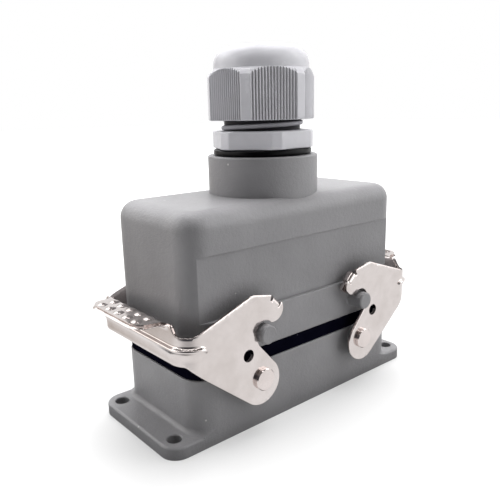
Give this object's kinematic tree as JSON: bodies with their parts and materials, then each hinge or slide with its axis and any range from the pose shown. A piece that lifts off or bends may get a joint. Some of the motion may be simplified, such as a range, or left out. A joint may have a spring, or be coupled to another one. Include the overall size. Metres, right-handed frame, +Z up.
{
  "type": "heavy duty rectangular connector",
  "caption": "Rectangular industrial connector: bulkhead housing and top-entry hood closed by end levers, with a dome-nut cable gland.",
  "frame": {"origin": "bottom centre of the mounting flange", "axes": "+X along the connector, +Y across it, +Z up from the flange to the cable gland"},
  "size_m": [0.1226, 0.0558, 0.1196],
  "materials": {
    "casting_grey": "grey painted die casting with a fine even texture and a soft sheen",
    "seal_dark": "smooth dark rubber",
    "lever_metal": "bright nickel-plated sheet steel",
    "pin_metal": "bright nickel-plated steel",
    "insert_plastic": "matt moulded plastic",
    "contact_metal": "turned metal",
    "screw_metal": "zinc-plated steel",
    "plate_metal": "zinc-plated steel",
    "o_ring_black": "smooth black rubber",
    "gland_plastic": "light grey moulded plastic with a soft gloss",
    "claw_plastic": "light grey moulded plastic",
    "gland_rubber": "soft black rubber"
  },
  "bodies": {
    "connector": {"housing": "casting_grey", "hood": "casting_grey", "housing_gasket": "seal_dark", "panel_seal": "seal_dark", "pivot_pin_left_front": "pin_metal", "pivot_pin_left_back": "pin_metal", "pivot_pin_right_front": "pin_metal", "pivot_pin_right_back": "pin_metal", "female_insert": "insert_plastic", "male_insert": "insert_plastic", "socket_contacts": "contact_metal", "pin_contacts": "contact_metal", "female_terminal_screws": "screw_metal", "male_terminal_screws": "screw_metal", "female_earth_screws": "screw_metal", "male_earth_screws": "screw_metal", "female_fixing_screws": "screw_metal", "male_fixing_screws": "screw_metal", "female_earth_plate_left": "plate_metal", "female_earth_plate_right": "plate_metal", "male_earth_plate_left": "plate_metal", "male_earth_plate_right": "plate_metal", "gland_o_ring": "o_ring_black", "gland_body": "gland_plastic"},
    "lever_left": {"lever_left": "lever_metal"},
    "lever_right": {"lever_right": "lever_metal"},
    "clamping_cage": {"gland_cage": "claw_plastic", "gland_seal": "gland_rubber"},
    "dome_nut": {"gland_nut": "gland_plastic"}
  },
  "joints": [
    {"name": "lever_left_hinge", "type": "hinge", "parent": "connector", "child": "lever_left", "pos_m": [-0.02403, 0, 0.018], "axis": [0, -1, 0], "range_deg": [0, 47]},
    {"name": "lever_right_hinge", "type": "hinge", "parent": "connector", "child": "lever_right", "pos_m": [0.02403, 0, 0.018], "axis": [0, 1, 0], "range_deg": [0, 47]},
    {"name": "cage_slide", "type": "slide", "parent": "connector", "child": "clamping_cage", "axis": [0, 0, 1], "range_m": [-0.0031, 0.0046]},
    {"name": "nut_turn", "type": "hinge", "parent": "clamping_cage", "child": "dome_nut", "pos_m": [0, 0, 0.096], "axis": [0, 0, 1], "range_deg": [-360, 540]}
  ],
  "couplings": [
    {"joint": "cage_slide", "follows": "nut_turn", "m_per_rad": 0.00047746}
  ]
}
